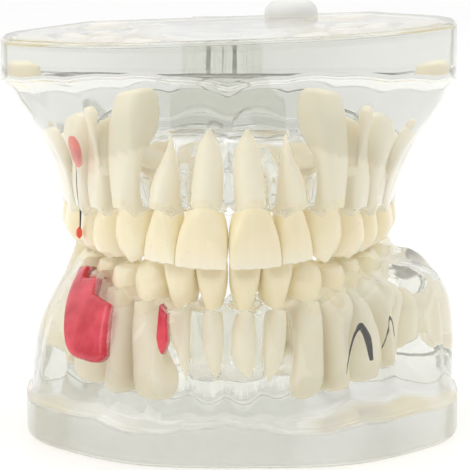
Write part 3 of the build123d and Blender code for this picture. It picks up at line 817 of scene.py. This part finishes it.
upper_block, _ = casting("upper", 0.0, sloping_top, roof=55.4,
                         flat_ground=0.35, band_ground=0.12, smoke_and_shade=1.0)
lower_block, lower_skin = casting("lower", BASE_SHIFT, level_base, roof=11.5,
                                  flat_ground=0.8, band_ground=0.55, smoke_and_shade=0.45)
clear_resin = resin_material()
for block, jaw in ((upper_block, "upper"), (lower_block, "lower")):
    block.data.materials.append(clear_resin)
    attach(block, jaw)
    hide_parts(f"{jaw}_jaw")


# ---------------- hinge blocks ----------------
# The lug behind the upper casting and the two-eared bracket behind the base are sawn from clear
# acrylic sheet, flame-polished and cemented on.
ROUNDING = 0.5             # radius left on the sawn corners by the polishing flame
LONG_CORNER = 3.0
SHARP = radians(40)


def long_corners(obj):
    """Mark the long corners for rounding, and leave the pin holes sharp."""
    work = bmesh.new()
    work.from_mesh(obj.data)
    marks = [float(edge.calc_length() > LONG_CORNER * MM and edge.calc_face_angle(0) > SHARP)
             for edge in work.edges]
    work.free()
    layer = obj.data.attributes.new("bevel_weight_edge", "FLOAT", "EDGE")
    layer.data.foreach_set("value", marks)


for node, jaw in (("upper_hinge_lug", "upper"), ("lower_hinge_bracket", "lower")):
    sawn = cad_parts[node]
    polished = bpy.data.objects.new(f"{node}_polished", sawn.data.copy())
    bpy.context.scene.collection.objects.link(polished)
    polished.matrix_world = sawn.matrix_world.copy()
    polished.data.materials.clear()
    polished.data.materials.append(clear_resin)
    baked(polished, [("WELD", dict(merge_threshold=0.002 * MM)),
                     ("DECIMATE", dict(decimate_type="DISSOLVE", angle_limit=radians(1)))])
    long_corners(polished)
    baked(polished, [("BEVEL", dict(width=ROUNDING * MM, segments=3, limit_method="WEIGHT",
                                    use_clamp_overlap=False, harden_normals=True))])
    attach(polished, jaw)
    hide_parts(node)


# ---------------- disease marks ----------------
# Inflamed gum: pieces of glossy red resin let into the skin of the clear gum. The abscess, canal
# thread and pulp spot are painted before casting, and so are the two black canal marks.
def paint_material(name, deep, light, rough, size):
    """Glossy paint or dyed resin, in patches of two shades about size metres across."""
    graph = Graph(bpy.data.materials.new(name))
    patch = graph.noise(size, detail=3.0, rough=0.6)
    fine = graph.noise(size / 6, detail=2.0)
    colour = graph.mix(graph.ramp(patch, 0.3, 0.72), deep, light)
    surface = graph.bump(fine, 0.3, 0.0002)
    shader = graph.principled(Base_Color=colour, Roughness=rough + fine * 0.12, Normal=surface,
                              IOR=1.5, Coat_Weight=0.4, Coat_Roughness=0.1)
    return graph.finish(shader)


def skin_point(skin, column, share):
    """Point of a casting's outer slope, between its rows and columns."""
    row = share * (len(skin) - 1)
    r = int(min(row, len(skin) - 2))
    c = int(column)
    down = row - r
    along = column - c
    first = skin[r][c % COLUMNS] * (1 - along) + skin[r][(c + 1) % COLUMNS] * along
    second = skin[r + 1][c % COLUMNS] * (1 - along) + skin[r + 1][(c + 1) % COLUMNS] * along
    return first * (1 - down) + second * down


def column_at(angle):
    """Column of the casting meshes at an angle in degrees from the front, left positive."""
    return (radians(angle) + pi) / (2 * pi) * COLUMNS - 0.5


def skin_patch(name, skin, low_ends, high_ends, foot, head, thick, proud):
    """Closed shell lying in a casting's skin.

    low_ends and high_ends are the angles round the casting, in degrees, between which its foot
    and its head lie. foot(u) and head(u) are its ends up the slope for u from 0 to 1 across it,
    thick is its depth and proud how far its middle stands out of the skin.
    """
    across = 44
    up = 40
    edge_roll = 0.55
    outside = []
    inside = []
    for i in range(up + 1):
        for j in range(across + 1):
            u = j / across
            share = foot(u) + (head(u) - foot(u)) * i / up
            low = low_ends[0] + (low_ends[1] - low_ends[0]) * u
            high = high_ends[0] + (high_ends[1] - high_ends[0]) * u
            column = column_at(low + (high - low) * i / up)
            here = skin_point(skin, column, share)
            aside = skin_point(skin, column + 1, share) - skin_point(skin, column - 1, share)
            above = skin_point(skin, column, min(share + 0.03, 1))
            above = above - skin_point(skin, column, share - 0.03)
            away = np.cross(aside, above)
            away = away / np.linalg.norm(away)
            away = away if away[1] < 0 else -away
            # its edges roll under the skin
            border = min(1.0, 9 * min(u, 1 - u, i / up, 1 - i / up))
            roll = edge_roll * (1 - sqrt(1 - (1 - border) ** 2))
            outside.append(here + away * (proud - roll))
            inside.append(here - away * thick)
    count = len(outside)
    row = across + 1
    faces = []
    for i in range(up):
        for j in range(across):
            a = i * row + j
            faces.append((a, a + 1, a + row + 1, a + row))
            faces.append((count + a, count + a + row, count + a + row + 1, count + a + 1))
    edge = [j for j in range(row)]
    edge += [i * row + across for i in range(1, up + 1)]
    edge += [up * row + j for j in range(across - 1, -1, -1)]
    edge += [i * row for i in range(up - 1, 0, -1)]
    for a, b in zip(edge, edge[1:] + edge[:1]):
        faces.append((b, a, count + a, count + b))
    patch = mesh_object(name, np.array(outside + inside) * MM, faces)
    face_outwards(patch)
    smooth(patch)
    return patch


def thread(name, points, radii):
    """Painted line through points, its thickness changing along it."""
    points = np.array(points, float)
    knots = np.linspace(0, 1, len(points))
    steps = np.linspace(0, 1, 40)
    path = np.stack([smooth_curve(knots, points[:, k], steps) for k in range(3)], axis=1)
    sizes = smooth_curve(knots, radii, steps)
    heads = np.gradient(path, axis=0)
    rings = []
    for point, head, size in zip(path, heads, sizes):
        head = head / np.linalg.norm(head)
        first = np.cross(head, (0.31, 0.95, 0.05))
        first = first / np.linalg.norm(first)
        second = np.cross(head, first)
        turn = np.linspace(0, 2 * pi, 12, endpoint=False)[:, None]
        rings.append(point + size * (np.cos(turn) * first + np.sin(turn) * second))
    tube, faces = ring_mesh(rings)
    line = mesh_object(name, tube * MM, faces)
    face_outwards(line)
    smooth(line)
    return line


red = paint_material("red_gum", (0.52, 0.012, 0.03, 1), (0.78, 0.07, 0.10, 1), 0.20, 0.007)
orange = paint_material("abscess_red", (0.76, 0.05, 0.018, 1), (0.92, 0.13, 0.05, 1), 0.3, 0.002)
black = paint_material("canal_black", (0.008, 0.008, 0.009, 1), (0.03, 0.028, 0.026, 1), 0.4, 0.002)


def jagged(u):
    """Upper edge of the inflamed gum: it climbs in points between the crowns it lies against."""
    return float(smooth_curve([0, 0.2, 0.3, 0.56, 0.68, 1], [0.96, 1.0, 0.93, 0.99, 0.88, 0.87], u))


# the inflamed gum is puffed up level with the root swellings on either side of it
PUFF_SPREAD = 14           # columns to either side that the skin is evened out over
puffed_skin = sum(np.roll(lower_skin, k, axis=1) for k in range(-PUFF_SPREAD, PUFF_SPREAD + 1))
puffed_skin = puffed_skin / (2 * PUFF_SPREAD + 1)
gum_piece = skin_patch("inflamed_gum_moulding", puffed_skin, (-57.5, -42), (-75, -45),
                       lambda u: 0.36 + 0.10 * (2 * u - 1) ** 4, jagged, thick=1.6, proud=0.8)
papilla_piece = skin_patch("inflamed_papilla_moulding", lower_skin, (-25.2, -21.3), (-25, -22.3),
                           lambda u: 0.60 + 0.14 * (2 * u - 1) ** 2, lambda u: 1.0 - 0.03 * u,
                           thick=1.2, proud=0.3)


def beside_arch(arch, reach, out, height, side):
    """Point beside an arch: a length round it from the front, and a distance to the cheek."""
    x, y, heading = along_arch(arch, reach)
    return np.array([side * (x + out * sin(heading)), y - out * cos(heading), height])


def canal_legs(reach, out, foot, height, spread):
    """Route of a canal mark: up one root and down the next."""
    route = [(-0.72, 0.16), (-0.46, 0.52), (-0.20, 0.93), (0.0, 1.0), (0.32, 0.78), (0.5, 0.30)]
    return [beside_arch(ARCHES["lower"], reach + spread * along, out, foot + height * rise, 1)
            for along, rise in route]


front_mark = thread("root_canal_mark_front_paint", canal_legs(22.4, 4.9, 11.4, 8.6, 5.2),
                    [0.10, 0.12, 0.22, 0.46, 0.54, 0.24])
rear_mark = thread("root_canal_mark_rear_paint", canal_legs(30.4, 5.9, 15.0, 5.2, 6.2),
                   [0.10, 0.12, 0.18, 0.26, 0.24, 0.16])
upper_arch = ARCHES["upper"]
sick = [beside_arch(upper_arch, 28.4, 4.9, height, -1)
        for height in (54.8, 53.2, 51.4, 49.6, 48.4)]
abscess = thread("root_abscess_paint", sick, [0.6, 1.4, 1.7, 1.6, 0.5])
canal = thread("infected_canal_paint",
               [beside_arch(upper_arch, 29.0 + shift, 4.9, height, -1)
                for height, shift in ((49.2, 0), (46.0, 1.4), (42.5, 1.9), (39.0, 2.1),
                                      (36.8, 2.4))],
               [0.26, 0.14, 0.2, 0.16, 0.12])
spot = thread("pulp_spot_paint",
              [beside_arch(upper_arch, 31.6, 5.0, height, -1)
               for height in (37.0, 36.4, 35.6, 35.0)],
              [0.15, 0.5, 0.55, 0.15])
for piece, node, slot, material, jaw in (
        (gum_piece, "inflamed_gum", "red_gum", red, "lower"),
        (papilla_piece, "inflamed_papilla", "red_gum", red, "lower"),
        (front_mark, "root_canal_mark_front", "canal_black", black, "lower"),
        (rear_mark, "root_canal_mark_rear", "canal_black", black, "lower"),
        (abscess, "root_abscess", "abscess_red", orange, "upper"),
        (canal, "infected_canal", "canal_black", black, "upper"),
        (spot, "pulp_spot", "abscess_red", orange, "upper")):
    piece.data.materials.append(material)
    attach(piece, jaw)
    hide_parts(node)


# ---------------- hinge pin, washers and caps ----------------
# The pin is drawn stainless wire pushed through the ears and the lug. Turned nylon washers keep
# the lug central, and moulded nylon caps are pressed on the pin's ends.
def steel_material():
    """Bright metal with fine lines drawn along the pin."""
    graph = Graph(bpy.data.materials.new("pin_steel"))
    drawn = graph.noise(0.0006, detail=2.0, stretch=(0.05, 1.0, 1.0))
    colour = graph.mix(drawn, (0.52, 0.52, 0.52, 1), (0.68, 0.68, 0.67, 1))
    shader = graph.principled(Base_Color=colour, Metallic=1.0, Roughness=0.22 + drawn * 0.14,
                              Normal=graph.bump(drawn, 0.15, 0.0001))
    return graph.finish(shader)


def moulded_material(name, shades, sizes, rough, bump, **inputs):
    """Soft clouds between two shades, and a fine tooth to the surface.

    sizes are those of the clouds and of the tooth in metres, rough is the least roughness and how
    much the tooth adds, and bump is the tooth's strength and depth.
    """
    graph = Graph(bpy.data.materials.new(name))
    cloud = graph.noise(sizes[0], detail=3.0)
    fine = graph.noise(sizes[1], detail=2.0)
    shader = graph.principled(Base_Color=graph.mix(cloud, *shades),
                              Roughness=rough[0] + fine * rough[1],
                              Normal=graph.bump(fine, *bump), **inputs)
    return graph.finish(shader)


steel = steel_material()
nylon = moulded_material("nylon", ((0.80, 0.80, 0.76, 1), (0.88, 0.88, 0.85, 1)),
                         (0.003, 0.0004), (0.42, 0.12), (0.2, 0.00008))
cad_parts["hinge_pin"].material_slots[0].material = steel
for side in ("left", "right"):
    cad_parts[f"hinge_washer_{side}"].material_slots[0].material = nylon
    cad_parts[f"pin_cap_{side}"].material_slots[0].material = nylon


# ---------------- silicone bumper ----------------
# A frosted silicone dome, moulded with a flat sticky back and pressed on near the rear of the top
# face, as a soft stop.
silicone = moulded_material("frosted_silicone", ((0.90, 0.90, 0.88, 1), (0.95, 0.95, 0.94, 1)),
                            (0.004, 0.0005), (0.45, 0.15), (0.25, 0.0001),
                            Transmission_Weight=0.35, IOR=1.41)
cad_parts["silicone_bumper"].material_slots[0].material = silicone


# ---------------- floor, light and camera ----------------
# A pale laminate table that runs out to white, a broad soft light overhead and one from the left,
# and a camera in front, a little above the model.
laminate = moulded_material("pale_table", ((0.93, 0.93, 0.93, 1), (0.96, 0.96, 0.955, 1)),
                            (0.08, 0.0012), (0.5, 0.1), (0.1, 0.0001))
bpy.ops.mesh.primitive_plane_add(size=6.0, location=(0, 1.5, -0.0002))
floor = bpy.context.object
floor.name = "table_top"
floor.data.materials.append(laminate)


def area_light(name, place, aim, size, power):
    """A soft rectangular lamp at place, turned towards aim."""
    data = bpy.data.lights.new(name, "AREA")
    data.shape = "RECTANGLE"
    data.size, data.size_y = size
    data.energy = power
    lamp = bpy.data.objects.new(name, data)
    lamp.location = place
    lamp.rotation_euler = (Vector(aim) - Vector(place)).to_track_quat("-Z", "Y").to_euler()
    bpy.context.scene.collection.objects.link(lamp)


area_light("overhead", (0.0, 0.0, 0.7), (0, 0, 0.04), (0.7, 0.5), 0.9)
area_light("left_window", (-0.55, -0.35, 0.4), (0, 0, 0.04), (0.35, 0.5), 0.8)


def studio_world():
    """White behind and overhead, falling to grey behind the camera, so that clear edges show."""
    graph = Graph(bpy.data.worlds.new("studio"))
    sky = graph.add("ShaderNodeTexCoord", output="Generated")
    forwards = graph.add("ShaderNodeSeparateXYZ", output="Y", inputs={0: sky})
    upwards = graph.add("ShaderNodeSeparateXYZ", output="Z", inputs={0: sky})
    ahead = graph.add("ShaderNodeMapRange", interpolation_type="SMOOTHSTEP",
                      inputs={"Value": forwards, "From Min": -0.75, "From Max": 0.35,
                              "To Min": 0.22, "To Max": 1.15})
    high = graph.add("ShaderNodeMapRange", interpolation_type="SMOOTHSTEP",
                     inputs={"Value": upwards, "From Min": 0.1, "From Max": 0.75, "To Max": 1.5})
    seen = graph.add("ShaderNodeLightPath", output="Is Camera Ray")
    strength = ahead.math("MAXIMUM", high).math("MAXIMUM", seen)
    background = graph.add("ShaderNodeBackground", inputs={"Strength": strength})
    return graph.finish(background, "ShaderNodeOutputWorld")


bpy.context.scene.world = studio_world()

camera_data = bpy.data.cameras.new("camera")
camera_data.sensor_width = 36
camera_data.lens = 166.2
camera_data.clip_start = 0.01
camera = bpy.data.objects.new("camera", camera_data)
camera.location = (0.0011, -0.381, 0.0975)
camera.rotation_euler = (radians(90 - 9.41), 0, 0)
bpy.context.scene.collection.objects.link(camera)
bpy.context.scene.camera = camera
bpy.context.scene.view_settings.view_transform = "Standard"

bpy.context.view_layer.update()
